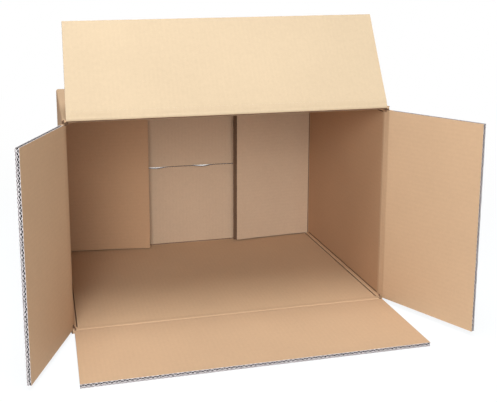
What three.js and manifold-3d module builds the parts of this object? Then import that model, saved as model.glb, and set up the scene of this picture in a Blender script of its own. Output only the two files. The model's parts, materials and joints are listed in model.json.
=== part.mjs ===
import * as THREE from 'three';
import { mergeVertices } from 'three/addons/utils/BufferGeometryUtils.js';
import Module from 'manifold-3d';

// Slotted carton of double-wall corrugated board, lying on one long side wall with its four top flaps
// open and its bottom flaps folded shut under a strip of tape. Millimetres and degrees, +Z up.
// The origin is the middle of the outer face that the carton lies on, and the opening faces -Y.

// Outside of the carton
const cartonLength = 600;
const cartonWidth = 384;
const cartonDepth = 425;

// Board: three liners with a fluted layer in each gap, the finer one under the outer liner
const boardThickness = 7;
const linerThickness = 0.6;
const mediumThickness = 0.6;
const outerFluteHeight = 2.1;
const flutePitch = 8;
const fluteEdgeMargin = 2;

// Folds and creases, with the board crushed solid next to an open flap's crease
const crushedBand = 12;
const foldRadius = 4;
const creaseGap = 0.5;
const layerGap = 0.4;

// Flaps: the major ones meet at the middle of the carton, the minor ones lie under them when shut
const seamGap = 1.6;
const majorSideInset = 4;
const minorSideClearance = 1;

// Rest angles of the open flaps, from straight out of the opening towards the outside
const upperFlapAngle = 120;
const lowerFlapAngle = 0;
const leftFlapAngle = 23.5;
const rightFlapAngle = 29.5;

// Glue tab of the maker's joint, inside the left end of the upper wall
const tabWidth = 38;
const tabThickness = 5;
const tabEndClearance = 2;
const tabTaper = 12;

// Strip of tape over the shut bottom seam
const tapeWidth = 48;
const tapeThickness = 0.3;
const tapeClearance = 0.3;
const tapeLap = 60;

const kraft = { color: 0xc8a27c, roughness: 0.9, metalness: 0 };
const kraftInside = { color: 0xd6b48e, roughness: 0.92, metalness: 0 };
const clearTape = { color: 0xd8c3a0, roughness: 0.25, metalness: 0 };

// Places that several pieces share
const sideX = cartonLength / 2;
const innerX = sideX - boardThickness;
const frontY = -cartonDepth / 2;
const backY = cartonDepth / 2;
const layerStep = boardThickness + layerGap;
const minorHingeY = frontY + layerStep;
const minorBackY = backY - layerStep;
const creaseSetback = creaseGap / 2;
const majorFlapLength = (cartonWidth - seamGap) / 2;
const minorFlapLength = majorFlapLength + layerStep;
const majorFlapSpan = cartonLength - 2 * majorSideInset;
const minorFlapSpan = cartonWidth - 2 * (boardThickness + minorSideClearance);

const wasm = await Module();
wasm.setup();

// Joins and cuts of closed solids
function toSolid(geometry) {
  const bare = geometry.index ? geometry.toNonIndexed() : geometry.clone();
  bare.deleteAttribute('normal');
  bare.deleteAttribute('uv');
  const merged = mergeVertices(bare, 1e-4);
  return new wasm.Manifold(new wasm.Mesh({
    numProp: 3,
    vertProperties: new Float32Array(merged.attributes.position.array),
    triVerts: new Uint32Array(merged.index.array),
  }));
}

function toGeometry(solid) {
  const mesh = solid.getMesh();
  const geometry = new THREE.BufferGeometry();
  geometry.setAttribute('position', new THREE.BufferAttribute(new Float32Array(mesh.vertProperties), 3));
  geometry.setIndex(new THREE.BufferAttribute(new Uint32Array(mesh.triVerts), 1));
  geometry.computeVertexNormals();
  return geometry;
}

// A prism of a closed outline between two places on one axis. The outline's two coordinates are
// (y, z) along x, (z, x) along y, and (x, y) along z.
const outlineAxes = {
  x: [new THREE.Vector3(0, 1, 0), new THREE.Vector3(0, 0, 1), new THREE.Vector3(1, 0, 0)],
  y: [new THREE.Vector3(0, 0, 1), new THREE.Vector3(1, 0, 0), new THREE.Vector3(0, 1, 0)],
  z: [new THREE.Vector3(1, 0, 0), new THREE.Vector3(0, 1, 0), new THREE.Vector3(0, 0, 1)],
};

function prism(outline, axis, from, to) {
  const geometry = new THREE.ExtrudeGeometry(outline, {
    depth: to - from,
    bevelEnabled: false,
    curveSegments: 4,
  });
  geometry.translate(0, 0, from);
  return geometry.applyMatrix4(new THREE.Matrix4().makeBasis(...outlineAxes[axis]));
}

function polygon(points) {
  return new THREE.Shape(points.map(([u, v]) => new THREE.Vector2(u, v)));
}

function block(x0, x1, y0, y1, z0, z1) {
  const geometry = new THREE.BoxGeometry(x1 - x0, y1 - y0, z1 - z0);
  return geometry.translate((x0 + x1) / 2, (y0 + y1) / 2, (z0 + z1) / 2);
}

// One long wall with the bottom flap that folds up from it: the wall's front end is mitred at the
// crease of its open flap, and the outer corner of the shut fold is round.
function longWall() {
  const seamZ = majorFlapLength;
  const outline = new THREE.Shape();
  outline.moveTo(frontY + creaseSetback, 0);
  outline.lineTo(backY - foldRadius, 0);
  outline.absarc(backY - foldRadius, foldRadius, foldRadius, -Math.PI / 2, 0, false);
  outline.lineTo(backY, seamZ);
  outline.lineTo(backY - boardThickness, seamZ);
  outline.lineTo(backY - boardThickness, boardThickness);
  outline.lineTo(frontY + creaseSetback + boardThickness, boardThickness);
  return prism(outline, 'x', -sideX, sideX);
}

// One short wall with its bottom flap, which folds in under the two long ones
function shortWallWithFlap() {
  const flapEndX = sideX - minorFlapLength;
  const outline = new THREE.Shape();
  outline.moveTo(sideX, minorHingeY + creaseSetback);
  outline.lineTo(sideX, minorBackY - foldRadius);
  outline.absarc(sideX - foldRadius, minorBackY - foldRadius, foldRadius, 0, Math.PI / 2, false);
  outline.lineTo(flapEndX, minorBackY);
  outline.lineTo(flapEndX, minorBackY - boardThickness);
  outline.lineTo(innerX, minorBackY - boardThickness);
  outline.lineTo(innerX, minorHingeY + creaseSetback + boardThickness);
  const edgeZ = boardThickness + minorSideClearance;
  return prism(outline, 'z', edgeZ, cartonWidth - edgeZ);
}

// The same short wall's full height, rooted in the two long walls
function shortWallCore() {
  const outline = polygon([
    [sideX, minorHingeY + creaseSetback],
    [sideX, minorBackY - boardThickness],
    [innerX, minorBackY - boardThickness],
    [innerX, minorHingeY + creaseSetback + boardThickness],
  ]);
  const rootZ = boardThickness / 2;
  return prism(outline, 'z', rootZ, cartonWidth - rootZ);
}

// The glue tab is the short wall's edge, folded over and stuck to the upper wall's inside
function glueTab() {
  const startY = minorHingeY + boardThickness + tabEndClearance;
  const endY = minorBackY - boardThickness - tabEndClearance;
  const rootX = -sideX + boardThickness / 2;
  const edgeX = -innerX + tabWidth;
  const outline = polygon([
    [rootX, startY],
    [edgeX, startY + tabTaper],
    [edgeX, endY - tabTaper],
    [rootX, endY],
  ]);
  const wallZ = cartonWidth - boardThickness;
  return prism(outline, 'z', wallZ - tabThickness, wallZ + boardThickness / 2);
}

// The carton's round outer corners, as an envelope that trims the joined walls
function envelope() {
  const low = foldRadius;
  const high = cartonWidth - foldRadius;
  const reach = sideX - foldRadius;
  const outline = new THREE.Shape();
  outline.absarc(low, -reach, foldRadius, Math.PI, 1.5 * Math.PI, false);
  outline.absarc(high, -reach, foldRadius, 1.5 * Math.PI, 2 * Math.PI, false);
  outline.absarc(high, reach, foldRadius, 0, 0.5 * Math.PI, false);
  outline.absarc(low, reach, foldRadius, 0.5 * Math.PI, Math.PI, false);
  return prism(outline, 'y', frontY - 1, backY + 1);
}

function turnedHalfRound(geometry) {
  return geometry.clone().rotateY(Math.PI).translate(0, 0, cartonWidth);
}

function cartonBody() {
  const lower = longWall();
  const right = shortWallWithFlap();
  const rightCore = shortWallCore();
  const slot = block(sideX - majorSideInset, sideX + 1, backY - boardThickness, backY + 1, -1, cartonWidth + 1);
  return toGeometry(toSolid(lower)
    .add(toSolid(turnedHalfRound(lower)))
    .add(toSolid(rightCore))
    .add(toSolid(turnedHalfRound(rightCore)))
    .add(toSolid(right))
    .add(toSolid(turnedHalfRound(right)))
    .add(toSolid(glueTab()))
    .intersect(toSolid(envelope()))
    .subtract(toSolid(slot))
    .subtract(toSolid(turnedHalfRound(slot))));
}

// The triangular channels of one fluted layer, in section. Channels under a wave's crests alternate
// with channels over its troughs, and the medium is the zigzag wall that is left between them.
function fluteChannels(span, lowZ, height) {
  const rise = Math.hypot(height, flutePitch / 2);
  const sideGap = mediumThickness / 2 * rise / height;
  const tipGap = mediumThickness * rise / flutePitch;
  const count = Math.floor((span - 2 * fluteEdgeMargin) / flutePitch);
  const startX = -count * flutePitch / 2;
  const channels = [];
  for (let i = 0; i < count; i += 1) {
    const x = startX + i * flutePitch;
    const crestX = x + flutePitch / 2;
    channels.push([
      [lowZ, x + sideGap],
      [lowZ, x + flutePitch - sideGap],
      [lowZ + height - tipGap, crestX],
    ]);
    if (i < count - 1) {
      channels.push([
        [lowZ + height, crestX + sideGap],
        [lowZ + tipGap, x + flutePitch],
        [lowZ + height, crestX + flutePitch - sideGap],
      ]);
    }
  }
  return channels;
}

// The fluted panel of a flap, whose channels run from its crease to its cut edge
function flutedPanel(span, reach) {
  const half = span / 2;
  const middleZ = linerThickness + outerFluteHeight;
  const innerLayerZ = middleZ + linerThickness;
  const innerFluteHeight = boardThickness - linerThickness - innerLayerZ;
  const outline = polygon([[0, -half], [boardThickness, -half], [boardThickness, half], [0, half]]);
  const channels = [
    ...fluteChannels(span, linerThickness, outerFluteHeight),
    ...fluteChannels(span, innerLayerZ, innerFluteHeight),
  ];
  outline.holes = channels.map(polygon);
  return prism(outline, 'y', crushedBand, reach);
}

// An open flap in its own frame: x along the crease, y from the crease to the free edge, z from the
// outer face to the inner one. The crease runs through the origin, and the flap's root is mitred.
function flap(span, reach) {
  const root = polygon([
    [creaseSetback, 0],
    [crushedBand, 0],
    [crushedBand, boardThickness],
    [creaseSetback + boardThickness, boardThickness],
  ]);
  return toGeometry(toSolid(flutedPanel(span, reach)).add(toSolid(prism(root, 'x', -span / 2, span / 2))));
}

// Tape over the seam, with a lap on each short wall
function seamTape() {
  const inner = tapeClearance;
  const outer = tapeClearance + tapeThickness;
  const endY = backY - tapeLap;
  const foldX = sideX - foldRadius + inner;
  const foldY = backY - foldRadius + inner;
  const outerRadius = foldRadius + tapeThickness;
  const outline = new THREE.Shape();
  outline.moveTo(sideX + inner, endY);
  outline.lineTo(sideX + outer, endY);
  outline.absarc(foldX, foldY, outerRadius, 0, Math.PI / 2, false);
  outline.absarc(-foldX, foldY, outerRadius, Math.PI / 2, Math.PI, false);
  outline.lineTo(-sideX - outer, endY);
  outline.lineTo(-sideX - inner, endY);
  outline.absarc(-foldX, foldY, foldRadius, Math.PI, Math.PI / 2, true);
  outline.absarc(foldX, foldY, foldRadius, Math.PI / 2, 0, true);
  return prism(outline, 'z', (cartonWidth - tapeWidth) / 2, (cartonWidth + tapeWidth) / 2);
}

const carton = new THREE.Group();

function addPiece(name, geometry, finish, parent = carton) {
  const mesh = new THREE.Mesh(geometry, new THREE.MeshStandardMaterial(finish));
  mesh.name = name;
  parent.add(mesh);
  return mesh;
}

// A flap's group turns about its crease, and its mesh is laid straight out of the opening in it
function addFlap({ name, geometry, crease, along, inward, opening, angle }) {
  const hinge = new THREE.Group();
  hinge.position.copy(crease);
  hinge.setRotationFromAxisAngle(opening, THREE.MathUtils.degToRad(angle));
  carton.add(hinge);
  const straight = new THREE.Vector3(0, -1, 0);
  const mesh = addPiece(name, geometry, kraftInside, hinge);
  mesh.setRotationFromMatrix(new THREE.Matrix4().makeBasis(along, straight, inward));
}

addPiece('carton_body', cartonBody(), kraft);
addPiece('bottom_seam_tape', seamTape(), clearTape);

addFlap({
  name: 'upper_major_flap',
  geometry: flap(majorFlapSpan, majorFlapLength),
  crease: new THREE.Vector3(0, frontY, cartonWidth),
  along: new THREE.Vector3(1, 0, 0),
  inward: new THREE.Vector3(0, 0, -1),
  opening: new THREE.Vector3(-1, 0, 0),
  angle: upperFlapAngle,
});
addFlap({
  name: 'lower_major_flap',
  geometry: flap(majorFlapSpan, majorFlapLength),
  crease: new THREE.Vector3(0, frontY, 0),
  along: new THREE.Vector3(-1, 0, 0),
  inward: new THREE.Vector3(0, 0, 1),
  opening: new THREE.Vector3(1, 0, 0),
  angle: lowerFlapAngle,
});
addFlap({
  name: 'left_minor_flap',
  geometry: flap(minorFlapSpan, minorFlapLength),
  crease: new THREE.Vector3(-sideX, minorHingeY, cartonWidth / 2),
  along: new THREE.Vector3(0, 0, 1),
  inward: new THREE.Vector3(1, 0, 0),
  opening: new THREE.Vector3(0, 0, -1),
  angle: leftFlapAngle,
});
addFlap({
  name: 'right_minor_flap',
  geometry: flap(minorFlapSpan, minorFlapLength),
  crease: new THREE.Vector3(sideX, minorHingeY, cartonWidth / 2),
  along: new THREE.Vector3(0, 0, -1),
  inward: new THREE.Vector3(-1, 0, 0),
  opening: new THREE.Vector3(0, 0, 1),
  angle: rightFlapAngle,
});

export default carton;
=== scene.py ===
"""Looks of a slotted carton of double-wall corrugated board that lies on one long wall, its flaps open."""

import json
import logging
import math
from collections.abc import Callable, Iterable, Mapping, Sequence
from dataclasses import dataclass, field
from enum import Enum

import bpy
import numpy as np
from mathutils import Matrix, Vector


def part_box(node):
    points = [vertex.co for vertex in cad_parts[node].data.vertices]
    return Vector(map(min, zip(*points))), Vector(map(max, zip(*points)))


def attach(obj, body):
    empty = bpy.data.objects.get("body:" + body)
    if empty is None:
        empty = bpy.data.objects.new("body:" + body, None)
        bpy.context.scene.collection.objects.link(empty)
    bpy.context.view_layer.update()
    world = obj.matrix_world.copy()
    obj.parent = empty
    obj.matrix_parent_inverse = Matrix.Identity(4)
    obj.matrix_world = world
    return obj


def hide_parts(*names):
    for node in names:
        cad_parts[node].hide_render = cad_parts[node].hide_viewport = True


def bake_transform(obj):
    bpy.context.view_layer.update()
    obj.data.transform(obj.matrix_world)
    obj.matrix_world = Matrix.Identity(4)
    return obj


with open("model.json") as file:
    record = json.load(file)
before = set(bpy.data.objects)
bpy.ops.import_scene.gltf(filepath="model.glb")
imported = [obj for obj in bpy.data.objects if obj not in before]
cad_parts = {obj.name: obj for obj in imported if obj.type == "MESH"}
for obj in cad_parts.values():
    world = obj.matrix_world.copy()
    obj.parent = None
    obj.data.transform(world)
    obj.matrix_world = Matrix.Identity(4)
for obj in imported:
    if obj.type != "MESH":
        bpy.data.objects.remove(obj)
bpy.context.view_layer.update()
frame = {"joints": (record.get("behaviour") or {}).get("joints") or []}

LOG = logging.getLogger("carton")
MM = 0.001
SEED = 11
CARTON = "carton"
# How far the faces of a crease or a fold lie inside the panels' faces that they overlap.
LAP = 0.03 * MM
# Edges over this angle stay sharp where a piece is shaded smooth.
SHARP_ANGLE = math.radians(35)
# A board piece's material slots, in the order of Skins.all.
OUTER, INNER, EDGE, MEDIUM_IN_SHADE, CRUSHED_AND_SHADED = range(5)
WHITE = (1.0, 1.0, 1.0, 1.0)

Socket = bpy.types.NodeSocket
Points = np.ndarray
Triple = tuple[float, float, float]
Colour = Triple


def srgb(*values: int) -> Colour:
    """Turn an 8-bit sRGB colour into a linear one.

    Args:
        values: its red, its green and its blue value.

    Returns:
        The linear colour.
    """
    shares = (value / 255 for value in values)
    red, green, blue = (
        share / 12.92 if share <= 0.04045 else ((share + 0.055) / 1.055) ** 2.4 for share in shares
    )
    return red, green, blue


def linked(name: str, data: bpy.types.ID) -> bpy.types.Object:
    """Make an object and link it to the scene.

    Args:
        name: the object's name.
        data: its mesh, lamp or camera data.

    Returns:
        The object.
    """
    made = bpy.data.objects.new(name, data)
    bpy.context.scene.collection.objects.link(made)
    return made


class FluteRun(Enum):
    """The row axis that a face's flutes repeat along."""

    ACROSS_X = "X"
    ACROSS_Z = "Z"


def operator(operation: str, reflected: bool = False) -> Callable[["Value", object], "Value"]:
    """Make a method of Value that takes one other number.

    Args:
        operation: the Math node's operation.
        reflected: whether the other number comes first.

    Returns:
        The method.
    """
    def apply(value: "Value", other: object) -> "Value":
        """Return the operation's result on the two numbers."""
        first, second = (other, value) if reflected else (value, other)
        return value.graph.maths(operation, first, second)

    return apply


class Value:
    """A number in a shader, worked with as in Python."""

    def __init__(self, graph: "Graph", socket: Socket) -> None:
        """Wrap a socket of a graph."""
        self.graph = graph
        self.socket = socket

    __add__, __radd__ = operator("ADD"), operator("ADD", reflected=True)
    __sub__, __rsub__ = operator("SUBTRACT"), operator("SUBTRACT", reflected=True)
    __mul__, __rmul__ = operator("MULTIPLY"), operator("MULTIPLY", reflected=True)
    __rpow__ = operator("POWER", reflected=True)
    highest = operator("MAXIMUM")

    def sine(self) -> "Value":
        """Return the sine."""
        return self.graph.maths("SINE", self)


class Graph:
    """A material's or world's node tree, emptied and ready to be built."""

    def __init__(self, owner: bpy.types.Material | bpy.types.World) -> None:
        """Start an empty tree.

        Args:
            owner: the material or world that holds the tree.
        """
        owner.use_nodes = True
        self.tree = owner.node_tree
        self.tree.nodes.clear()

    def node(
        self,
        kind: str,
        settings: Mapping[str, object] | None = None,
        sockets: Mapping[str | int, object] | None = None,
    ) -> bpy.types.Node:
        """Add one node.

        Args:
            kind: the node's type.
            settings: its properties, set before its sockets.
            sockets: values or links of its input sockets, by name or place.

        Returns:
            The new node.
        """
        made = self.tree.nodes.new(kind)
        for name, value in (settings or {}).items():
            setattr(made, name, value)
        for key, value in (sockets or {}).items():
            target = made.inputs[key]
            if isinstance(value, Value):
                self.tree.links.new(value.socket, target)
            elif isinstance(value, Socket):
                self.tree.links.new(value, target)
            else:
                target.default_value = value
        return made

    def maths(self, operation: str, *terms: object) -> Value:
        """Return the result of a Math node on one or more numbers."""
        made = self.node("ShaderNodeMath", {"operation": operation}, dict(enumerate(terms)))
        return Value(self, made.outputs[0])

    def place(self) -> Socket:
        """Return the place on the object, in metres."""
        return self.node("ShaderNodeTexCoord").outputs["Object"]

    def stretched(self, vector: Socket, factors: Triple) -> Socket:
        """Return a vector scaled by a factor for each axis."""
        made = self.node("ShaderNodeVectorMath", {"operation": "MULTIPLY"}, {0: vector, 1: factors})
        return made.outputs[0]

    def noise(self, vector: Socket, scale: float, detail: float = 2.0, rough: float = 0.5) -> Value:
        """Return cloudy noise from 0 to 1.

        Args:
            vector: the place that it is read at.
            scale: how many clouds go to a metre.
            detail: how many finer layers are added.
            rough: how strong the finer layers are.

        Returns:
            The noise.
        """
        sockets = {"Vector": vector, "Scale": scale, "Detail": detail, "Roughness": rough}
        return Value(self, self.node("ShaderNodeTexNoise", {}, sockets).outputs[0])

    def axis(self, vector: Socket, name: str) -> Value:
        """Return one coordinate of a vector."""
        made = self.node("ShaderNodeSeparateXYZ", {}, {0: vector})
        return Value(self, made.outputs[name])

    def mixed(self, factor: Value, first: Colour, second: Colour) -> Socket:
        """Return the colour between two colours, where the factor is the second one's share."""
        sockets = {0: factor, 6: (*first, 1.0), 7: (*second, 1.0)}
        return self.node("ShaderNodeMix", {"data_type": "RGBA"}, sockets).outputs[2]

    def bump(self, height: Value, depth: float, strength: float) -> Socket:
        """Return the normal of a surface whose height varies by up to a depth in metres."""
        sockets = {"Height": height, "Distance": depth, "Strength": strength}
        return self.node("ShaderNodeBump", {}, sockets).outputs[0]

    def surface(self, sockets: Mapping[str, object]) -> None:
        """Add a material's shader and output, with values or links of the shader's sockets."""
        shader = self.node("ShaderNodeBsdfPrincipled", {}, sockets)
        self.node("ShaderNodeOutputMaterial", {}, {0: shader.outputs[0]})


@dataclass(frozen=True)
class KraftFinish:
    """Uncoated kraft liner over fluted paper.

    Attributes:
        name: the material's name.
        colour: the liner's colour.
        flutes: the axis that the flutes repeat along.
        washboard: how far the flutes show through, as a share of the tone.
        pitch: the flutes' pitch.
        clouds: share of the tone that wide clouds change.
        fibres: share of the tone that fibres change.
        specks: share of the tone that specks change.
        contrast: how far the darkest and the lightest tone lie from the colour, as a share of it.
        relief: depth of the paper's relief.
        grain: how much finer the fibres' noise is along each axis.
    """

    name: str
    colour: Colour
    flutes: FluteRun = FluteRun.ACROSS_X
    washboard: float = 0.04
    pitch: float = 8.0 * MM
    clouds: float = 0.3
    fibres: float = 0.42
    specks: float = 0.22
    contrast: float = 0.2
    relief: float = 0.12 * MM
    grain: Triple = (1.0, 6.0, 1.0)

    def material(self) -> bpy.types.Material:
        """Build the material: clouds, fibres, specks and a faint washboard over one paper colour.

        Returns:
            The material.
        """
        made = bpy.data.materials.new(self.name)
        graph = Graph(made)
        place = graph.place()
        clouds = graph.noise(place, scale=7.0, detail=3.0)
        fibres = graph.noise(graph.stretched(place, self.grain), scale=420.0, detail=3.0, rough=0.6)
        specks = graph.noise(place, scale=160.0)
        ribs = (graph.axis(place, self.flutes.value) * (2 * math.pi / self.pitch)).sine()
        show = ribs * graph.noise(place, scale=18.0) * self.washboard
        paper = (clouds - 0.5) * self.clouds + (fibres - 0.5) * self.fibres + (specks - 0.5) * self.specks
        tones = (1 - self.contrast, 1 + self.contrast)
        dark, light = (tuple(tone * c for c in self.colour) for tone in tones)
        height = fibres * 0.5 + specks * 0.5 + ribs * 0.25
        graph.surface({
            "Base Color": graph.mixed(paper + show + 0.5, dark, light),
            "Roughness": 0.86 + (fibres - 0.5) * 0.1,
            "Specular IOR Level": 0.22,
            "Normal": graph.bump(height, self.relief, strength=0.5),
        })
        return made


@dataclass(frozen=True)
class CutEdgeHighlightFinish:
    """Raw paper of the fluted layers at the cut edges, paler than the liners: partly the paper's own
    lighter tone, partly a painted highlight.

    Attributes:
        name: the material's name.
        colour: the lightest tone, near white partly as a painted highlight.
        shade: the darkest tone, as a share of the lightest.
        relief: depth of the paper's relief.
    """

    name: str = "cut_edges"
    colour: Colour = srgb(228, 211, 206)
    shade: float = 0.6
    relief: float = 0.08 * MM

    def material(self) -> bpy.types.Material:
        """Build the material: dull paper with a torn, mottled tone.

        Returns:
            The material.
        """
        made = bpy.data.materials.new(self.name)
        graph = Graph(made)
        mottle = graph.noise(graph.place(), scale=300.0, detail=3.0, rough=0.6)
        graph.surface({
            "Base Color": graph.mixed(mottle, tuple(self.shade * c for c in self.colour), self.colour),
            "Roughness": 0.94 - mottle * 0.05,
            "Specular IOR Level": 0.15,
            "Normal": graph.bump(mottle, self.relief, strength=0.5),
        })
        return made


@dataclass(frozen=True)
class TapeFinish:
    """Clear glossy packing film.

    Attributes:
        name: the material's name.
        colour: the film's darker tone.
        pale: its lighter tone.
        alpha: how much of the light one side of the film stops.
        relief: depth of the film's relief.
        streak: how much finer the streaks' noise is along each axis.
    """

    name: str = "clear_film"
    colour: Colour = srgb(226, 208, 176)
    pale: Colour = srgb(240, 228, 206)
    alpha: float = 0.26
    relief: float = 0.1 * MM
    streak: Triple = (3.0, 3.0, 240.0)

    def material(self) -> bpy.types.Material:
        """Build the material: a thin see-through film with faint lengthwise streaks.

        Returns:
            The material.
        """
        made = bpy.data.materials.new(self.name)
        graph = Graph(made)
        place = graph.place()
        streaks = graph.noise(graph.stretched(place, self.streak), scale=1.0)
        bubbles = graph.noise(place, scale=130.0)
        graph.surface({
            "Base Color": graph.mixed(bubbles, self.colour, self.pale),
            "Roughness": 0.16 + streaks * 0.1,
            "Alpha": self.alpha + (bubbles - 0.5) * 0.12,
            "Normal": graph.bump(streaks * 0.6 + bubbles * 0.4, self.relief, strength=0.4),
        })
        return made


@dataclass(frozen=True)
class Skins:
    """A board's materials.

    Attributes:
        outer: the outer liner.
        inner: the inner liner.
        edge: the cut edges.
        medium: the fluted paper and the middle liner, near black as painted shade in the flutes' hollows.
        crushed_and_shaded: the inner liner where a crease pinches it, darker partly for the pinched paper
            and partly as painted shade in creases, folds and grooves.
    """

    outer: bpy.types.Material
    inner: bpy.types.Material
    edge: bpy.types.Material
    medium: bpy.types.Material
    crushed_and_shaded: bpy.types.Material

    @property
    def all(self) -> tuple[bpy.types.Material, ...]:
        """The materials in the order of a piece's slots."""
        return self.outer, self.inner, self.edge, self.medium, self.crushed_and_shaded


KRAFT = srgb(184, 146, 113)
# Paler copy of the kraft for the upper flap's inside: a painted highlight where the light falls strongest.
PAINTED_HIGHLIGHT_KRAFT = srgb(182, 154, 124)
# Lighter copy of the kraft for the floor and the roof: painted light on the floor.
PAINTED_LIGHT_FLOOR_KRAFT = srgb(189, 151, 117)
# Lighter, paler copy of the kraft for the bottom's major flaps and right minor flap: painted light where
# the front light reaches the back.
PAINTED_LIGHT_BOTTOM_KRAFT = srgb(188, 155, 127)
# Darker copy of the kraft for the side walls and the left minor flap: painted shade.
SHADED_KRAFT = srgb(179, 137, 103)
# Dark copy of the kraft: partly the darker pinched paper, partly painted shade in creases, grooves, folds
# and cut ends.
CRUSHED_AND_SHADED_KRAFT = srgb(106, 77, 57)
# Near-black copy of the kraft for the fluted paper: painted shade in the flutes' hollows, which show at the
# cut edges.
FLUTING_IN_PAINTED_SHADE = srgb(46, 34, 28)


class Finishes:
    """The materials of the carton, made once each."""

    def __init__(self) -> None:
        """Build every material."""
        across_z = FluteRun.ACROSS_Z
        self.long = KraftFinish("kraft_long_walls", KRAFT).material()
        self.short = KraftFinish("kraft_short_walls", KRAFT, across_z).material()
        # Floor and roof: the lighter kraft, as painted light on the floor.
        self.floor = KraftFinish("kraft_floor", PAINTED_LIGHT_FLOOR_KRAFT).material()
        # Side walls: the darker kraft, as painted shade.
        self.side = KraftFinish("kraft_side_walls", SHADED_KRAFT, across_z).material()
        # Fluted paper: near-black kraft, as painted shade in the flutes' hollows.
        self.medium = KraftFinish("fluting_medium", FLUTING_IN_PAINTED_SHADE, washboard=0.0).material()
        # Pinched places: dark kraft, partly the pinched paper and partly painted shade.
        self.crushed_and_shaded = KraftFinish("kraft_crushed", CRUSHED_AND_SHADED_KRAFT, washboard=0.0).material()
        # Cut edges: near-white paper, partly its own lighter tone and partly a painted highlight.
        self.edge = CutEdgeHighlightFinish().material()
        self.tape = TapeFinish().material()
        # Upper flap's inside: the paler kraft, as a painted highlight.
        pale = KraftFinish("kraft_upper_flap_inside", PAINTED_HIGHLIGHT_KRAFT, washboard=0.03).material()
        # Bottom's major flaps and right minor flap: the lighter, paler kraft, as painted light.
        major = KraftFinish("kraft_bottom_major", PAINTED_LIGHT_BOTTOM_KRAFT).material()
        minor = KraftFinish("kraft_bottom_minor", PAINTED_LIGHT_BOTTOM_KRAFT, across_z).material()
        self.long_skins = self._skins(self.long, self.long)
        self.short_skins = self._skins(self.short, self.short)
        self.painted_highlight_skins = self._skins(self.long, pale)
        self.painted_shade_side_skins = self._skins(self.side, self.side)
        self.bottom_major_skins = self._skins(major, major)
        # The right minor flap's cut edge and flutes take the dark kraft of pinched places: painted shade in
        # the gap behind its sprung edge.
        self.bottom_minor_skins = Skins(minor, minor, self.crushed_and_shaded, self.crushed_and_shaded, self.crushed_and_shaded)

    def _skins(self, outer: bpy.types.Material, inner: bpy.types.Material) -> Skins:
        """Return the skins of a board with two given liners."""
        return Skins(outer, inner, self.edge, self.medium, self.crushed_and_shaded)


@dataclass
class MeshParts:
    """Vertices and faces of one piece, gathered body by body.

    Attributes:
        blocks: coordinates of each body.
        faces: corner numbers of each face.
        slots: material slot of each face.
        count: how many coordinates there are.
    """

    blocks: list[Points] = field(default_factory=list)
    faces: list[tuple[int, ...]] = field(default_factory=list)
    slots: list[int] = field(default_factory=list)
    count: int = 0

    def add(
        self, points: Points, faces: Iterable[tuple[int, ...]], slot: int | Sequence[int] = 0,
    ) -> None:
        """Add one closed body.

        Args:
            points: its coordinates, one row each.
            faces: its faces as numbers of its own points.
            slot: the material slot of all its faces, or one for each.
        """
        moved = [tuple(self.count + corner for corner in face) for face in faces]
        self.faces += moved
        self.slots += [slot] * len(moved) if isinstance(slot, int) else list(slot)
        self.blocks.append(points)
        self.count += len(points)

    def add_band(self, first: Points, second: Points, sides: tuple[int, int], rim: int) -> None:
        """Add the closed body between two like grids of points.

        Args:
            first: a grid of points, rows by columns by 3.
            second: the grid that faces it.
            sides: material slots of the faces on the two grids.
            rim: material slot of the faces between their edges.
        """
        rows, columns = first.shape[:2]
        size = rows * columns
        number = np.arange(size).reshape(rows, columns)
        a, b, c, d = number[:-1, :-1], number[:-1, 1:], number[1:, 1:], number[1:, :-1]
        near = np.stack([a, b, c, d], -1).reshape(-1, 4)
        far = np.stack([a, d, c, b], -1).reshape(-1, 4) + size
        loop = np.concatenate([number[0, :-1], number[:-1, -1], number[-1, :0:-1], number[:0:-1, 0]])
        after = np.roll(loop, -1)
        edge = np.stack([loop, loop + size, after + size, after], -1)
        faces = [tuple(face) for face in np.vstack([near, far, edge]).tolist()]
        slots = [sides[0]] * len(near) + [sides[1]] * len(far) + [rim] * len(edge)
        self.add(np.vstack([first.reshape(-1, 3), second.reshape(-1, 3)]), faces, slots)

    def piece(
        self, name: str, materials: Sequence[bpy.types.Material], smooth: bool = False,
    ) -> bpy.types.Object:
        """Make the object.

        Args:
            name: the piece's name.
            materials: its material slots.
            smooth: whether its faces are shaded smooth, with its sharp edges kept.

        Returns:
            The object, linked to the scene.
        """
        mesh = bpy.data.meshes.new(name)
        mesh.from_pydata(np.vstack(self.blocks).tolist(), [], self.faces)
        for material in materials:
            mesh.materials.append(material)
        mesh.polygons.foreach_set("material_index", self.slots)
        mesh.polygons.foreach_set("use_smooth", [smooth] * len(self.faces))
        mesh.update()
        if smooth:
            mesh.set_sharp_from_angle(angle=SHARP_ANGLE)
        LOG.info("%s: %d faces", name, len(self.faces))
        return linked(name, mesh)


@dataclass(frozen=True)
class Board:
    """Double-wall board in section: three liners with two fluted layers between them.

    Attributes:
        thickness: over all.
        liner: thickness of a liner.
        medium: thickness of the fluted paper.
        fine_pitch: wave length of the layer under the outer liner.
        coarse_pitch: wave length of the layer under the inner liner.
        fine_share: share of the inner height that the fine layer takes.
        raggedness: how far a cut edge is torn.
    """

    thickness: float = 7.0 * MM
    liner: float = 0.5 * MM
    medium: float = 0.72 * MM
    fine_pitch: float = 6.4 * MM
    coarse_pitch: float = 8.0 * MM
    fine_share: float = 0.37
    raggedness: float = 0.35 * MM

    @property
    def middle(self) -> float:
        """Height of the middle liner's outer side."""
        return self.liner + self.fine_share * (self.thickness - 3 * self.liner)


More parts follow.
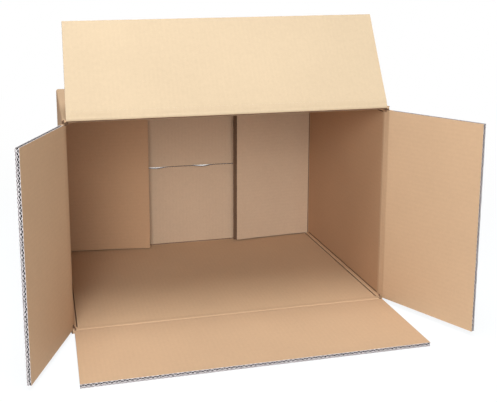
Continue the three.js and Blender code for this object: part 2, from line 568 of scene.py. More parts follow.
@dataclass(frozen=True)
class Placement:
    """A board's own frame: u across the flutes, v along them, n from the outer to the inner face.

    Attributes:
        origin: where the three coordinates are nought.
        out: the direction of v.
        inward: the direction of n.
    """

    origin: Vector
    out: Vector
    inward: Vector

    @property
    def along(self) -> Vector:
        """The direction of u."""
        return self.out.cross(self.inward)

    def world(self, u: Points, v: Points, n: Points) -> Points:
        """Return the places of local coordinates, with one more axis of 3."""
        parts = ((u, self.along), (v, self.out), (n, self.inward))
        return np.array(self.origin) + sum(np.asarray(c)[..., None] * np.array(axis) for c, axis in parts)


@dataclass
class FlutedPanel:
    """A flat panel of board with flutes that show at its cut edge.

    Attributes:
        name: the piece's name.
        board: the board's section.
        placement: the panel's frame.
        span: its width across the flutes.
        start: where it starts from the crease.
        reach: where its cut edge lies from the crease.
        lean: how far its whole cut edge stands inward of a flat panel.
        bow: how far the middle of its cut edge stands inward of its ends.
        twist: how far one end of its cut edge stands inward, and the other outward.
        edge_shape: how far the cut edge gives way at a place along it, as a function of u.
        insets: how far its low and its high side are set in, first at the crease, then at the cut edge.
        slant: how far its inner face ends before its outer face.
        curve: power of the share of the length that the lean, the bow and the twist follow.
        phases: where the waves of the fine and the coarse layer start, in radians.
        lengths: how many parts its length has.
        widths: how many parts its liners' width has.
        wave_steps: how many parts a wave has.
        end_share: share of the length from which a place belongs to the cut edge, ragged or not.
    """

    name: str
    board: Board
    placement: Placement
    span: float
    start: float
    reach: float
    lean: float = 0.0
    bow: float = 0.0
    twist: float = 0.0
    edge_shape: Callable[[Points], Points] = np.zeros_like
    insets: tuple[float, float, float, float] = (0.0, 0.0, 0.0, 0.0)
    slant: float = 0.0
    curve: float = 1.4
    phases: tuple[float, float] = (0.6, 2.1)
    lengths: int = 6
    widths: int = 74
    wave_steps: int = 10
    end_share: float = 0.99

    def __post_init__(self) -> None:
        """Start the panel's own random numbers."""
        self.random = np.random.default_rng(SEED + len(self.name))

    def _bent(self, u: Points, v: Points, n: Points) -> Points:
        """Find the places of panel coordinates, with the lean, the bow and the twist.

        Args:
            u: coordinates across the flutes.
            v: coordinates along them, from the crease.
            n: coordinates from the outer to the inner face.

        Returns:
            The places, with one more axis of 3.
        """
        share = np.clip((v - self.start) / (self.reach - self.start), 0.0, 1.0)
        across = 2 * u / self.span
        rise = share**self.curve * (self.lean + self.bow * (1 - across**2) + self.twist * across)
        shape = self.edge_shape(u) + self.slant * n / self.board.thickness
        end = np.where(share > self.end_share, shape, 0.0)
        low, high, far_low, far_high = self.insets
        inset = np.where(u < 0, low + (far_low - low) * share, high + (far_high - high) * share)
        return self.placement.world(u - across * inset, v - end, n + rise)

    def _layer(
        self, parts: MeshParts, u: Points, low: Points, high: Points, jitter: float,
        sides: tuple[int, int],
    ) -> None:
        """Add a closed layer between two heights.

        Args:
            parts: the piece that gets it.
            u: places across the flutes.
            low: heights of its outer side there.
            high: heights of its inner side there.
            jitter: how ragged its cut edge is.
            sides: material slots of its outer and inner side.
        """
        v = np.linspace(self.start, self.reach, self.lengths + 1)
        grid_u, grid_v = np.meshgrid(u, v)
        ragged = np.zeros_like(grid_v)
        ragged[-1] = self.random.uniform(0.0, jitter, len(u))
        bands = [self._bent(grid_u, grid_v - ragged, np.broadcast_to(n, grid_v.shape)) for n in (low, high)]
        parts.add_band(bands[0], bands[1], sides, EDGE)

    def _wave(self, parts: MeshParts, low: float, high: float, pitch: float, phase: float) -> None:
        """Add one fluted layer: a sine wave of paper between two liners.

        Args:
            parts: the piece that gets it.
            low: height of the outer liner's inner side.
            high: height of the inner liner's outer side.
            pitch: its wave length.
            phase: where its wave starts, in radians.
        """
        steps = round(self.span / pitch * self.wave_steps)
        u = np.linspace(-self.span / 2, self.span / 2, steps + 1)
        turn = 2 * math.pi * u / pitch + phase
        half = self.board.medium / 2
        middle, reach = (low + high) / 2, (high - low) / 2 - half
        slope = reach * 2 * math.pi / pitch * np.cos(turn)
        thick = half * np.sqrt(1 + slope**2)
        centre = middle + reach * np.sin(turn)
        low_side, high_side = np.maximum(centre - thick, low), np.minimum(centre + thick, high)
        self._layer(parts, u, low_side, high_side, self.board.raggedness, (MEDIUM_IN_SHADE, MEDIUM_IN_SHADE))

    def build(self, skins: Skins) -> bpy.types.Object:
        """Make the panel.

        Args:
            skins: its materials.

        Returns:
            The panel's object.
        """
        board = self.board
        parts = MeshParts()
        u = np.linspace(-self.span / 2, self.span / 2, self.widths + 1)
        middle = board.middle
        top = board.thickness - board.liner
        for sides, low in (
            ((OUTER, MEDIUM_IN_SHADE), 0.0), ((MEDIUM_IN_SHADE, MEDIUM_IN_SHADE), middle), ((MEDIUM_IN_SHADE, INNER), top),
        ):
            flat = np.full_like(u, low)
            self._layer(parts, u, flat, flat + board.liner, board.raggedness, sides)
        self._wave(parts, board.liner, middle, board.fine_pitch, self.phases[0])
        self._wave(parts, middle + board.liner, top, board.coarse_pitch, self.phases[1])
        return parts.piece(self.name, skins.all)


@dataclass
class OpenCrease:
    """The creased board between a wall and its open flap, bent round the hinge line.

    Attributes:
        name: the piece's name.
        board: the board's section.
        wall: frame of the wall, with v into the flap's straight direction.
        flap: frame of the flap, from the same hinge line.
        angle: how far the flap is open past straight, in radians.
        span: width across the flutes.
        depth: how far the crease is pressed in.
        width: half width of the pressed line.
        reach: how far the piece goes into the wall and into the flap.
        insets: how far its low and its high side are set in on the flap.
        crushed_and_shaded_turns: how many steps of the bend are darkened, partly as pinched paper and
            partly as painted shade, from the wall on.
        bend_lift: how far the bend's outer face lies inside the hinge line.
        step: the bend's degrees in one step.
        least_angle: the opening, in radians, under which a flap counts as straight.
        spread: length of a straight flap's bend, as a share of the reach.
        waver: how unevenly the crease is pressed in.
        waver_rows: how many rows from the middle of the bend this fades over.
        inset_rate: how many times sooner than the bend its sides are set in.
        stations: places from the crease where the section has points, as shares of the reach.
        widths: how many parts its width has.
    """

    name: str
    board: Board
    wall: Placement
    flap: Placement
    angle: float
    span: float
    depth: float
    width: float
    reach: float
    insets: tuple[float, float]
    crushed_and_shaded_turns: int
    bend_lift: float = 0.3 * MM
    step: float = 12.0
    least_angle: float = math.radians(3)
    spread: float = 0.02
    waver: float = 0.5 * MM
    waver_rows: float = 4.0
    inset_rate: float = 3.0
    stations: tuple[float, ...] = (1.0, 0.86, 0.72, 0.6, 0.5, 0.42, 0.34, 0.27, 0.2, 0.13, 0.06)
    widths: int = 48

    def _inner(self, distance: float) -> float:
        """Return the height of the inner face at a distance from the crease."""
        pressed = math.exp(-((distance / self.width) ** 2))
        return self.board.thickness - LAP - self.depth * pressed

    def _pair(self, side: Placement, distance: float) -> tuple[Vector, Vector]:
        """Return the outer and the inner point at a distance along the wall's or the flap's direction."""
        base = side.origin + side.out * distance
        return base + side.inward * LAP, base + side.inward * self._inner(abs(distance))

    def _section(self) -> list[tuple[Vector, Vector]]:
        """Find the section of the strip.

        Returns:
            The outer and the inner point of each station, from the wall to the flap.
        """
        pairs = [self._pair(self.wall, -share * self.reach) for share in self.stations]
        turns = max(2, round(math.degrees(self.angle) / self.step))
        for step in range(turns + 1):
            share = step / turns
            turned = self.angle * share
            normal = self.wall.inward * math.cos(turned) + self.wall.out * math.sin(turned)
            along = (share - 0.5) * self.spread * self.reach if self.angle < self.least_angle else 0.0
            base = self.wall.origin + self.wall.out * along
            pairs.append((base + normal * self.bend_lift, base + normal * self._inner(0.0)))
        return pairs + [self._pair(self.flap, share * self.reach) for share in reversed(self.stations)]

    def build(self, skins: Skins) -> bpy.types.Object:
        """Make the creased strip.

        Args:
            skins: its materials.

        Returns:
            The strip's object.
        """
        pairs = self._section()
        u = np.linspace(-self.span / 2, self.span / 2, self.widths + 1)
        count, ends = len(pairs), len(self.stations)
        bend_share = (np.arange(count) - ends) / (count - 2 * ends - 1)
        flap_share = np.clip(self.inset_rate * bend_share, 0.0, 1.0)
        inset = np.where(u < 0, self.insets[0], self.insets[1]) * 2 * u / self.span
        rows = u[None, :] - flap_share[:, None] * inset[None, :]
        along = np.array(self.wall.along)
        random = np.random.default_rng(SEED)
        waver = np.convolve(random.uniform(-1, 1, len(u)), np.ones(5) / 5, "same") * self.waver
        outer, inner = (
            np.array([np.array(pair[side]) for pair in pairs])[:, None, :] + rows[..., None] * along
            for side in (0, 1)
        )
        rise = inner[:, :1] - outer[:, :1]
        rise /= np.linalg.norm(rise, axis=2, keepdims=True)
        station = np.arange(count) - (count - 1) / 2
        pressed = np.exp(-((station / self.waver_rows) ** 2))
        inner += rise * pressed[:, None, None] * waver[None, :, None]
        parts = MeshParts()
        parts.add_band(outer, inner, (OUTER, INNER), OUTER)
        # Darken the first bend steps from the wall: partly pinched paper, partly painted shade along the
        # crease.
        first = (count - 1 + ends) * self.widths
        last = first + self.crushed_and_shaded_turns * self.widths
        parts.slots[first:last] = [CRUSHED_AND_SHADED] * (last - first)
        return parts.piece(self.name, skins.all, smooth=True)


@dataclass
class ShutFold:
    """Board folded shut by a right angle, round outside and pinched inside.

    Attributes:
        name: the piece's name.
        board: the board's section.
        corner: where the two outer faces would meet.
        wall_out: direction from the wall to the fold.
        flap_out: direction from the fold to the flap's edge.
        span: width across the flutes.
        reach: how far the piece goes from the corner into the wall and the flap.
        radius: radius of the outer face.
        flats: ends of the flat parts, as shares of the reach.
        pinch: how far the pinched inner face bulges.
        pinch_start: where it starts to bulge, as the sine of twice the turn.
        pinch_width: half width of the pinched part.
        crushed_and_shaded: how many rows of inner faces are darkened, partly as pinched paper and partly as
            painted shade.
        turns: how many parts the fold has.
        widths: how many parts its width has.
    """

    name: str
    board: Board
    corner: Vector
    wall_out: Vector
    flap_out: Vector
    span: float
    reach: float
    radius: float = 4.0 * MM
    flats: tuple[float, float] = (1.0, 0.8)
    pinch: float = 0.77 * MM
    pinch_start: float = 0.6
    pinch_width: float = 1.6 * MM
    crushed_and_shaded: int = 6
    turns: int = 8
    widths: int = 8

    def _flat(self, out: Vector, inward: Vector, shares: tuple[float, ...]) -> list[tuple[Vector, Vector]]:
        """Return the outer and inner points of the flat part in a direction from the corner."""
        bases = [self.corner + out * self.reach * share for share in shares]
        return [(base + inward * LAP, base + inward * (self.board.thickness - LAP)) for base in bases]

    def build(self, skins: Skins) -> bpy.types.Object:
        """Make the folded strip.

        Args:
            skins: its materials.

        Returns:
            The strip's object.
        """
        diagonal = self.flap_out - self.wall_out
        centre = self.corner + diagonal * self.radius
        inner = self.corner + diagonal * self.board.thickness
        pairs = self._flat(-self.wall_out, self.flap_out, self.flats)
        for step in range(self.turns + 1):
            turned = math.pi / 2 * step / self.turns
            ray = self.wall_out * math.sin(turned) - self.flap_out * math.cos(turned)
            side = (2 * step / self.turns - 1) * self.pinch_width
            away = (self.flap_out if side > 0 else -self.wall_out) * abs(side)
            bulge = diagonal * self.pinch * max(0.0, math.sin(2 * turned) - self.pinch_start)
            pairs.append((centre + ray * (self.radius - LAP), inner + away + bulge))
        pairs += self._flat(self.flap_out, -self.wall_out, self.flats[::-1])
        along = np.array(self.wall_out.cross(self.flap_out))
        u = np.linspace(-self.span / 2, self.span / 2, self.widths + 1)
        grids = [np.array([np.array(p[side]) + u[:, None] * along for p in pairs]) for side in (0, 1)]
        parts = MeshParts()
        parts.add_band(grids[0], grids[1], (OUTER, INNER), OUTER)
        # Darken the pinched inner rows: partly pinched paper, partly painted shade in the fold.
        rows = len(pairs) - 1
        first = (rows + (rows - self.crushed_and_shaded) // 2) * self.widths
        last = first + self.crushed_and_shaded * self.widths
        parts.slots[first:last] = [CRUSHED_AND_SHADED] * (last - first)
        return parts.piece(self.name, skins.all, smooth=True)


@dataclass
class Carton:
    """The carton's outside sizes and its flaps' hinges, read from the frame.

    Attributes:
        board: the board's section.
        major_inset: how far a major flap's side stands back from the short wall's outer face.
        minor_clearance: clearance between a minor flap's side and a major flap's crease.
    """

    board: Board = field(default_factory=Board)
    major_inset: float = 4.0 * MM
    minor_clearance: float = 1.0 * MM

    def __post_init__(self) -> None:
        """Read the carton's box and the flaps' joints."""
        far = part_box("carton_body")[1]
        self.joints = {joint["child"]: joint for joint in frame["joints"]}
        self.front = self.joints["upper_flap"]["pos_m"][1]
        self.minor_front = self.joints["left_flap"]["pos_m"][1]
        self.side, self.back, self.height = far
        self.major_reach = self.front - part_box("lower_major_flap")[0].y
        self.minor_reach = self.major_reach + self.layer_step
        self.major_span = 2 * (self.side - self.major_inset)
        self.minor_span = self.height - 2 * (self.board.thickness + self.minor_clearance)

    @property
    def layer_step(self) -> float:
        """Depth from a major flap's plane to a minor flap's plane, when shut."""
        return self.minor_front - self.front


@dataclass
class OpenFlap:
    """One of the four open flaps: its panel and its crease.

    Attributes:
        carton: the carton that it belongs to.
        body: the frame's body that it rides on.
        node: the CAD node that it stands for.
        inward: the inward direction of its wall.
        span: its width.
        reach: its length from the crease.
        crease_width: half width of the pressed line.
        slack: how many degrees further than in the solids it stands open.
        bow: bow of its cut edge.
        twist: twist of its cut edge.
        insets: how far the panel's sides are set in.
        crease_depth: how far its crease is pressed in.
        crease_reach: how far the creased piece goes into the wall and the flap.
        crushed_and_shaded_turns: how many steps of the crease's bend are darkened, partly as pinched paper
            and partly as painted shade, from the wall on.
        overlap: how far the panel reaches into the creased piece.
        blend_share: where a blend would start and end, as a share of the crease's reach; not used.
    """

    carton: Carton
    body: str
    node: str
    inward: Vector
    span: float
    reach: float
    crease_width: float
    slack: float = 0.0
    bow: float = 0.0
    twist: float = 0.0
    insets: tuple[float, float, float, float] = (0.0, 0.0, 0.0, 0.0)
    crease_depth: float = 2.4 * MM
    crease_reach: float = 12.0 * MM
    crushed_and_shaded_turns: int = 0
    overlap: float = 0.3 * MM
    blend_share: float = 0.5

    def build(self, skins: Skins) -> None:
        """Make the panel and the crease, and join the panel to the frame's body.

        Args:
            skins: its materials.
        """
        joint = self.carton.joints[self.body]
        angle = math.radians(-joint["range_deg"][0] - 90 + self.slack)
        straight = Vector((0, -1, 0))
        hinge = Vector(joint["pos_m"])
        wall = Placement(hinge, straight, self.inward)
        out = straight * math.cos(angle) - self.inward * math.sin(angle)
        inward = self.inward * math.cos(angle) + straight * math.sin(angle)
        flap = Placement(hinge, out, inward)
        panel = FlutedPanel(
            f"{self.node}_panel", self.carton.board, flap, self.span, self.crease_reach - self.overlap,
            self.reach, bow=self.bow, twist=self.twist, insets=self.insets,
        ).build(skins)
        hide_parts(self.node)
        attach(panel, self.body)
        crease = OpenCrease(
            f"{self.node}_crease", self.carton.board, wall, flap, angle, self.span,
            depth=self.crease_depth, width=self.crease_width, reach=self.crease_reach,
            insets=self.insets[:2], crushed_and_shaded_turns=self.crushed_and_shaded_turns,
        ).build(skins)
        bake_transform(crease)


@dataclass
class WallTube:
    """The four walls, folded round into a tube with round outer and pinched inner corners.

    Attributes:
        carton: the carton that it belongs to.
        radius: radius of the outer corners.
        bulge: how far each wall's middle stands out, in the order floor, right, roof, left.
        crease_start: where the walls start behind the hinge lines.
        fold_start: where the walls end before the bottom's corners.
        end_gap: gap before the corners' ends, which no crease covers.
        side_clearance: clearance between a major flap's side and what counts as the corner.
        lengths: how many parts the depth has.
        straights: how many parts a wall's flat part has.
        flat_end: where the flat part ends before the outer corner.
        groove: how deep the inner face is pressed in where it takes the dark colour of pinched paper and
            painted shade.
        fold: the pinched fold's points before the outer corner, in millimetres: distance from the
            outer and from the inner corner, and rise of the inner face.
        bends: its points on the round corner: the turn in degrees, then as before for the inner face.
    """

    carton: Carton
    radius: float = 4.0 * MM
    bulge: tuple[float, float, float, float] = (0.0, 1.2 * MM, 0.8 * MM, 1.2 * MM)
    crease_start: float = 11.7 * MM
    fold_start: float = 11.8 * MM
    end_gap: float = 0.2 * MM
    side_clearance: float = 1.2 * MM
    lengths: int = 16
    straights: int = 14
    flat_end: float = 16.0 * MM
    groove: float = 1.0 * MM
    fold: tuple[Triple, ...] = (
        (12.0, 7.0, 0.0), (9.0, 6.1, -0.2), (7.5, 5.1, -1.9), (6.0, 4.1, 0.3), (4.0, 3.2, 1.1),
    )
    bends: tuple[Triple, ...] = ((22.5, 2.6, 1.5), (45.0, 2.0, 2.0))

    def _side(self, half: float) -> list[tuple[float, float, float, float]]:
        """Find the profile of one wall, up to the middle of its second corner.

        Args:
            half: half the wall's outer width.

        Returns:
            The outer and inner places, each as along and inward.
        """
        thick = self.carton.board.thickness
        edge = half - self.flat_end
        flat = [(p, 0.0, p, thick) for p in np.linspace(-edge, edge, self.straights + 1)]
        arc = [(half - a * MM, 0.0, half - thick - b * MM, thick + c * MM) for a, b, c in self.fold]
        for degrees, back, rise in self.bends:
            turn = math.radians(degrees)
            across, up = self.radius * (1 - math.sin(turn)), self.radius * (1 - math.cos(turn))
            arc.append((half - across, up, half - thick - back * MM, thick + rise * MM))
        mirrored = [(-a, b, -c, d) for a, b, c, d in reversed(arc[:-1])]
        return mirrored + flat + arc

    def _starts(self, wall: int, along: float, half: float) -> tuple[float, float]:
        """Find where a profile point's run starts and ends along the carton's depth.

        Args:
            wall: the wall's number.
            along: the point's outer place along the wall.
            half: half the wall's outer width.

        Returns:
            The start and the end.
        """
        carton = self.carton
        if wall % 2 == 0:
            inside = abs(along) < half - carton.major_inset - self.side_clearance
            front = carton.front + (self.crease_start if inside else self.end_gap)
            back = carton.back - (self.fold_start if inside else carton.board.thickness)
        else:
            inside = abs(along) < half - carton.board.thickness - carton.minor_clearance
            front = carton.minor_front + (self.crease_start if inside else self.end_gap)
            back = carton.back - carton.layer_step
            back -= self.fold_start if inside else carton.board.thickness
        return front, back

    def build(self, finishes: Finishes) -> bpy.types.Object:
        """Make the walls.

        Args:
            finishes: the carton's materials.

        Returns:
            The tube's object.
        """
        carton = self.carton
        halves = (carton.side, carton.height / 2)
        frames = (
            (Vector((0, 0, 0)), Vector((1, 0, 0)), Vector((0, 0, 1))),
            (Vector((carton.side, 0, halves[1])), Vector((0, 0, 1)), Vector((-1, 0, 0))),
            (Vector((0, 0, carton.height)), Vector((-1, 0, 0)), Vector((0, 0, -1))),
            (Vector((-carton.side, 0, halves[1])), Vector((0, 0, -1)), Vector((1, 0, 0))),
        )
        outer_rows, inner_rows, walls, pressed = [], [], [], []
        share = np.linspace(0, 1, self.lengths + 1)
        for wall, (base, along, inward) in enumerate(frames):
            half = halves[wall % 2]
            for a, b, c, d in self._side(half):
                start, end = self._starts(wall, a, half)
                y = start + (end - start) * share
                swell = -self.bulge[wall] * np.sin(math.pi * share) * math.cos(math.pi / 2 * a / half)
                for rows, p, n in ((outer_rows, a, b), (inner_rows, c, d)):
                    xz = base + along * p + inward * n
                    column = np.array([xz.x + inward.x * swell, y, xz.z + inward.z * swell]).T
                    rows.append(column)
                walls.append(wall)
                pressed.append(d < carton.board.thickness - self.groove)
        # Floor and roof take the lighter kraft as painted light; the side walls take the darker one as
        # painted shade.
        materials = (finishes.floor, finishes.side, finishes.crushed_and_shaded)
        crushed_and_shaded = materials.index(finishes.crushed_and_shaded)
        count, length = len(walls), self.lengths + 1
        faces: list[tuple[int, ...]] = []
        slots: list[int] = []
        offset = count * length
        for i in range(count):
            after = (i + 1) % count
            slot = walls[after] % 2
            # Groove faces take the dark kraft: partly pinched paper, partly painted shade.
            inner_slot = crushed_and_shaded if pressed[i] or pressed[after] else slot
            for j in range(self.lengths):
                a, b = i * length + j, after * length + j
                faces.append((a, b, b + 1, a + 1))
                faces.append((offset + a, offset + a + 1, offset + b + 1, offset + b))
                slots += [slot, inner_slot]
            # The tube's cut ends take the dark kraft as painted shade.
            first, second = i * length, after * length
            faces.append((first, offset + first, offset + second, second))
            last_a, last_b = first + self.lengths, second + self.lengths
            faces.append((last_a, last_b, offset + last_b, offset + last_a))
            slots += [crushed_and_shaded, crushed_and_shaded]
        parts = MeshParts()
        parts.add(np.array(outer_rows + inner_rows).reshape(-1, 3), faces, slots)
        return parts.piece("carton_walls", materials, smooth=True)


@dataclass
class ShutBottom:
    """The bottom's four flaps: two minor ones inside, two major ones over them, with a seam between.

    Attributes:
        carton: the carton that they belong to.
        fold: how far a fold's piece reaches from its corner.
        springs: how far the left and right minor flaps' cut edges have sprung inward.
        slant: how far the right minor flap's inner face ends before its outer face.
        seam_shift: how far the seam lies above the middle.
        side_inset: how far the minor flaps' sides are set in.
        lower_bow: how far the middle of the lower major flap's cut edge stands inward.
        overlap: how far a panel reaches into its fold's piece.
        seam_gap: how far the upper major flap's cut edge stands back from the seam.
        wavers: how far the lower and the upper major flap's cut edges waver.
        spots: the two bright spots in the seam: the place along it and the half width of each.
        spot_depth: how far the seam opens at a spot.
    """

    carton: Carton
    fold: float = 12.0 * MM
    springs: tuple[float, float] = (22.0 * MM, 15.0 * MM)
    slant: float = 7.0 * MM
    seam_shift: float = 2.4 * MM
    side_inset: float = 1.6 * MM
    lower_bow: float = 3.0 * MM
    overlap: float = 0.3 * MM
    seam_gap: float = 1.4 * MM
    wavers: tuple[float, float] = (0.25 * MM, 0.15 * MM)
    spots: tuple[tuple[float, float], ...] = ((-78.0 * MM, 18.0 * MM), (30.0 * MM, 14.0 * MM))
    spot_depth: float = 3.0 * MM

    def _flap(
        self, name: str, corner: Vector, flap_out: Vector, span: float, reach: float, skins: Skins,
        lean: float = 0.0, bow: float = 0.0, edge_shape: Callable[[Points], Points] = np.zeros_like,
        slant: float = 0.0, inset: float = 0.0,
    ) -> list[bpy.types.Object]:
        """Make one shut flap and its fold.

        Args:
            name: the flap's name.
            corner: where the outer faces of wall and flap would meet.
            flap_out: direction from the fold to the flap's edge.
            span: the flap's width.
            reach: its length from the corner.
            skins: its materials.
            lean: how far its cut edge has sprung inward.
            bow: how far the middle of its cut edge stands further inward.
            edge_shape: how far its cut edge gives way along it.
            slant: how far its inner face ends before its outer face.
            inset: how far its two sides are set in.

        Returns:
            The flap's pieces.
        """
        board, back = self.carton.board, Vector((0, 1, 0))
        panel = FlutedPanel(
            f"{name}_panel", board, Placement(corner, flap_out, -back), span,
            self.fold - self.overlap, reach, lean=lean, bow=bow, edge_shape=edge_shape, slant=slant,
            insets=(inset, inset, inset, inset),
        ).build(skins)
        fold = ShutFold(f"{name}_fold", board, corner, back, flap_out, span, reach=self.fold).build(skins)
        return [panel, fold]

    def build(self, finishes: Finishes) -> list[bpy.types.Object]:
        """Make the bottom's pieces.

        Args:
            finishes: the carton's materials.

        Returns:
            The pieces.
        """
        carton = self.carton
        up, right = Vector((0, 0, 1)), Vector((1, 0, 0))
        minor_back = carton.back - carton.layer_step
        pieces: list[bpy.types.Object] = []
        # The left minor flap takes the darker side-wall kraft as painted shade; the right one takes the
        # lighter bottom kraft as painted light.
        for name, sign, skins, spring, slant in (
            ("left", -1, finishes.painted_shade_side_skins, self.springs[0], 0.0),
            ("right", 1, finishes.bottom_minor_skins, self.springs[1], self.slant),
        ):
            corner = Vector((sign * carton.side, minor_back, carton.height / 2))
            pieces += self._flap(
                f"bottom_minor_{name}", corner, -sign * right, carton.minor_span,
                carton.minor_reach, skins, lean=spring, slant=slant, inset=self.side_inset,
            )
        for name, z, turn, shape, bow in (
            ("lower", 0.0, up, self._lower_edge, self.lower_bow),
            ("upper", carton.height, -up, self._upper_edge, 0.0),
        ):
            pieces += self._flap(
                f"bottom_major_{name}", Vector((0, carton.back, z)), turn, carton.major_span,
                carton.major_reach, finishes.bottom_major_skins, bow=bow, edge_shape=shape,
            )
        return pieces

    def _lower_edge(self, u: Points) -> Points:
        """Return how far the lower major flap's cut edge gives way along it."""
        wide = sum(np.exp(-(((u - place) / width) ** 2)) for place, width in self.spots)
        return self.wavers[0] * (1 + np.sin(21.0 * u)) + self.spot_depth * wide - self.seam_shift

    def _upper_edge(self, u: Points) -> Points:
        """Return how far the upper major flap's cut edge gives way along it."""
        return self.seam_shift - self.seam_gap + self.wavers[1] * np.sin(33.0 * u + 2.0)


@dataclass
class GlueTab:
    """The maker's joint: the tab glued to the roof's inside at the left wall.

    Attributes:
        carton: the carton that it belongs to.
        width: its width.
        thickness: its thickness, pressed.
        taper: how much shorter its free edge is at each end.
        end_clearance: clearance before and behind it.
        bevel: how far its pressed face is set in.
        shoulder: where the bevel starts, as a share of the thickness.
        root_share: how far its root reaches into the wall, as a share of the board.
        sunk: how far it reaches into the roof's board.
    """

    carton: Carton
    width: float = 38.0 * MM
    thickness: float = 4.0 * MM
    taper: float = 22.0 * MM
    end_clearance: float = 9.0 * MM
    bevel: float = 1.2 * MM
    shoulder: float = 0.55
    root_share: float = 0.9
    sunk: float = 0.5 * MM

    def build(self, skin: bpy.types.Material) -> bpy.types.Object:
        """Make the tab, thinner towards its edges where it is pressed.

        Args:
            skin: its material.

        Returns:
            The tab's object.
        """
        carton = self.carton
        thick = carton.board.thickness
        start = carton.minor_front + thick + self.end_clearance
        end = carton.back - carton.layer_step - thick - self.end_clearance
        root = -carton.side + thick * self.root_share
        edge = -carton.side + thick + self.width
        roof = carton.height - thick
        rows = []
        shoulder = self.thickness * self.shoulder
        for inset, drop in ((self.bevel, self.thickness), (0.0, shoulder), (0.0, -self.sunk)):
            outline = [
                (root, start + inset), (edge - inset, start + self.taper + inset),
                (edge - inset, end - self.taper - inset), (root, end - inset),
            ]
            rows.append([(x, y, roof - drop) for x, y in outline])
        points = np.array(rows).reshape(-1, 3)
        faces: list[tuple[int, ...]] = [(0, 3, 2, 1), (8, 9, 10, 11)]
        for row in range(2):
            for i in range(4):
                a, b = row * 4 + i, row * 4 + (i + 1) % 4
                faces.append((a, b, b + 4, a + 4))
        parts = MeshParts()
        parts.add(points, faces)
        return parts.piece("glue_tab", (skin,))


@dataclass
class SeamTape:
    """Clear film over the bottom's seam, with a lap on each short wall.

    Attributes:
        carton: the carton that it sticks to.
        width: its width.
        thickness: its thickness.
        stand: its distance from the board.
        lap: length of each lap.
        radius: radius of its bends.
        turns: how many parts a bend has.
        points: how many points a lap, the way from a bend to the middle, and the width have.
    """

    carton: Carton
    width: float = 48.0 * MM
    thickness: float = 0.12 * MM
    stand: float = 0.3 * MM
    lap: float = 60.0 * MM
    radius: float = 4.0 * MM
    turns: int = 6
    points: tuple[int, int, int] = (5, 12, 7)

    def build(self, film: bpy.types.Material) -> bpy.types.Object:
        """Make the strip as one thin band round three faces.

        Args:
            film: its material.

        Returns:
            The strip's object.
        """
        carton = self.carton
        path: list[tuple[float, float, float, float]] = []
        end = carton.back - self.lap
        on_lap, on_back, on_width = self.points
        for y in np.linspace(end, carton.back - self.radius, on_lap)[:-1]:
            path.append((carton.side, y, 1.0, 0.0))
        for step in range(self.turns + 1):
            turn = math.pi / 2 * step / self.turns
            x = carton.side - self.radius + self.radius * math.cos(turn)
            y = carton.back - self.radius + self.radius * math.sin(turn)
            path.append((x, y, math.cos(turn), math.sin(turn)))
        places = np.linspace(carton.side - self.radius, 0, on_back)[1:]
        path += [(x, carton.back, 0.0, 1.0) for x in places]
        full = path + [(-x, y, -nx, ny) for x, y, nx, ny in reversed(path[:-1])]
        z = np.linspace(-self.width / 2, self.width / 2, on_width) + carton.height / 2
        grids = []
        for off in (self.stand, self.stand + self.thickness):
            rows = [[(x + nx * off, y + ny * off, height) for height in z] for x, y, nx, ny in full]
            grids.append(np.array(rows))
        parts = MeshParts()
        parts.add_band(grids[0], grids[1], (0, 0), 0)
        return parts.piece("bottom_tape", (film,), smooth=True)


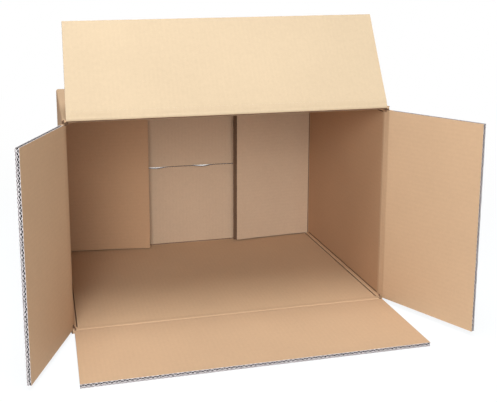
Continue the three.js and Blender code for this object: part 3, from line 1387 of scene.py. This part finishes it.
@dataclass
class Studio:
    """Floor, backdrop, lamps and camera.

    Attributes:
        eye: the camera's place.
        yaw: how far it is turned from +Y towards +X, in degrees.
        pitch: how far it looks down, in degrees.
        roll: how far its right side is raised, in degrees.
        focal_px: its focal length in pixels of the 497 by 402 frame.
        centre_px: where its axis meets the frame, in pixels.
        frame_px: the frame's width and height, in pixels.
        sensor: width of its sensor, in millimetres.
        aim: what the lamps look at.
        lamp_colour: their colour.
        lamps: name, place, side in metres and power in watts of each.
        floor_size: half the floor's side.
        floor_drop: how far the floor lies under the carton.
        shadow: how much darker than white the camera sees the floor's middle.
        fade: base and rate of the shadow's fading with the square of the distance.
    """

    eye: Vector = field(default_factory=lambda: Vector((-0.32927, -1.4720, 0.59362)))
    yaw: float = 13.105
    pitch: float = 10.082
    roll: float = -0.283
    focal_px: float = 746.0
    centre_px: tuple[float, float] = (215.0, 125.0)
    frame_px: tuple[int, int] = (497, 402)
    sensor: float = 36.0
    aim: Vector = field(default_factory=lambda: Vector((0.0, -0.1, 0.2)))
    lamp_colour: Colour = (0.935, 1.06, 1.14)
    lamps: tuple[tuple[str, Triple, float, float], ...] = (
        ("front", (-1.16, -2.87, 1.03), 1.3, 33.0),
        ("front_raised", (-1.16, -2.8, 1.5), 1.0, 20.0),
        ("front_high", (-0.6, -2.6, 1.9), 1.2, 30.0),
        ("front_low", (0.0, -3.1, 0.9), 1.3, 21.0),
        ("overhead", (-0.15, -0.63, 3.15), 1.9, 98.0),
    )
    floor_size: float = 12.0
    floor_drop: float = 0.4 * MM
    shadow: float = 0.16
    fade: tuple[float, float] = (2.7, -1.1)

    def _camera(self) -> None:
        """Make the camera at the photograph's place and angle."""
        data = bpy.data.cameras.new("camera")
        data.sensor_width = self.sensor
        data.lens = self.focal_px * self.sensor / self.frame_px[0]
        data.shift_x = (self.frame_px[0] / 2 - self.centre_px[0]) / self.frame_px[0]
        data.shift_y = (self.centre_px[1] - self.frame_px[1] / 2) / self.frame_px[0]
        data.clip_start, data.clip_end = 0.05, 50.0
        camera = linked("camera", data)
        camera.location = self.eye
        turn = Matrix.Rotation(math.radians(-self.yaw), 3, "Z")
        turn @= Matrix.Rotation(math.radians(90 - self.pitch), 3, "X")
        turn @= Matrix.Rotation(math.radians(self.roll), 3, "Z")
        camera.rotation_euler = turn.to_euler()
        bpy.context.scene.camera = camera

    def _lamp(self, name: str, place: Triple, size: float, power: float) -> None:
        """Make one square soft lamp that looks at the carton.

        Args:
            name: the lamp's name.
            place: where it stands, in metres.
            size: length of its side.
            power: its power, in watts.
        """
        data = bpy.data.lights.new(name, "AREA")
        data.size, data.energy, data.color = size, power, self.lamp_colour
        lamp = linked(name, data)
        lamp.location = place
        lamp.rotation_euler = (self.aim - Vector(place)).to_track_quat("-Z", "Y").to_euler()

    def _world(self) -> None:
        """Show plain white behind the carton, and leave the light to the lamps."""
        world = bpy.data.worlds.new("room")
        bpy.context.scene.world = world
        graph = Graph(world)
        path = graph.node("ShaderNodeLightPath")
        seen = Value(graph, path.outputs["Is Camera Ray"])
        for kind in ("Is Glossy Ray", "Is Transmission Ray"):
            seen = seen.highest(Value(graph, path.outputs[kind]))
        shader = graph.node("ShaderNodeBackground", {}, {0: WHITE, 1: seen})
        graph.node("ShaderNodeOutputWorld", {}, {0: shader.outputs[0]})

    def _floor(self) -> None:
        """Make the pale floor, white to the camera but for a soft shadow."""
        mesh = bpy.data.meshes.new("studio_floor")
        size, drop = self.floor_size, -self.floor_drop
        corners = [(-size, -size, drop), (size, -size, drop), (size, size, drop), (-size, size, drop)]
        mesh.from_pydata(corners, [], [(0, 1, 2, 3)])
        floor = linked("studio_floor", mesh)
        material = bpy.data.materials.new("studio_floor")
        graph = Graph(material)
        path = graph.node("ShaderNodeLightPath")
        seen = Value(graph, path.outputs["Is Camera Ray"])
        diffuse = graph.node("ShaderNodeBsdfDiffuse", {}, {0: (0.86, 0.86, 0.86, 1.0)})
        glow = graph.node("ShaderNodeEmission", {}, {0: WHITE, 1: 1.0})
        place = graph.place()
        across, deep = graph.axis(place, "X"), graph.axis(place, "Y")
        base, rate = self.fade
        near = base ** ((across * across + deep * deep) * rate)
        share = seen * (1.0 - near * self.shadow)
        mixed = graph.node("ShaderNodeMixShader", {}, {0: share, 1: diffuse.outputs[0], 2: glow.outputs[0]})
        graph.node("ShaderNodeOutputMaterial", {}, {0: mixed.outputs[0]})
        mesh.materials.append(material)

    def build(self) -> None:
        """Make the whole studio."""
        self._camera()
        self._world()
        self._floor()
        for lamp in self.lamps:
            self._lamp(*lamp)
        bpy.context.scene.view_settings.view_transform = "Standard"


def main() -> None:
    """Build the studio, the carton and its flaps in order."""
    logging.basicConfig(level=logging.INFO, format="%(name)s: %(message)s")
    Studio().build()
    finishes = Finishes()
    carton = Carton()

    walls = WallTube(carton).build(finishes)
    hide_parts("carton_body")
    fixed = [walls, *ShutBottom(carton).build(finishes), GlueTab(carton).build(finishes.long)]
    for piece in fixed:
        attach(piece, CARTON)

    tape = SeamTape(carton).build(finishes.tape)
    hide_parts("bottom_seam_tape")
    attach(tape, CARTON)

    long_flap = (carton.major_span, carton.major_reach)
    short_flap = (carton.minor_span, carton.minor_reach)
    up, right = Vector((0, 0, 1)), Vector((1, 0, 0))
    # The upper flap's crease darkens five bend steps: partly pinched paper, partly painted shade under the
    # crease.
    OpenFlap(
        carton, "upper_flap", "upper_major_flap", -up, *long_flap, slack=3.2, twist=5.5 * MM,
        insets=(3 * MM, 6 * MM, 5 * MM, 1 * MM), crease_width=6.5 * MM, crushed_and_shaded_turns=5,
    ).build(finishes.painted_highlight_skins)
    OpenFlap(
        carton, "lower_flap", "lower_major_flap", up, *long_flap, crease_width=2.2 * MM,
        crease_depth=1.3 * MM, insets=(1.8 * MM, 3.4 * MM, 3 * MM, 2.6 * MM),
    ).build(finishes.long_skins)
    OpenFlap(
        carton, "left_flap", "left_minor_flap", right, *short_flap, slack=-2.2, crease_width=4.0 * MM,
    ).build(finishes.short_skins)
    OpenFlap(
        carton, "right_flap", "right_minor_flap", -right, *short_flap, slack=-3.2, crease_width=3.6 * MM,
        crease_depth=1.3 * MM,
    ).build(finishes.short_skins)


if __name__ == "__main__":
    main()
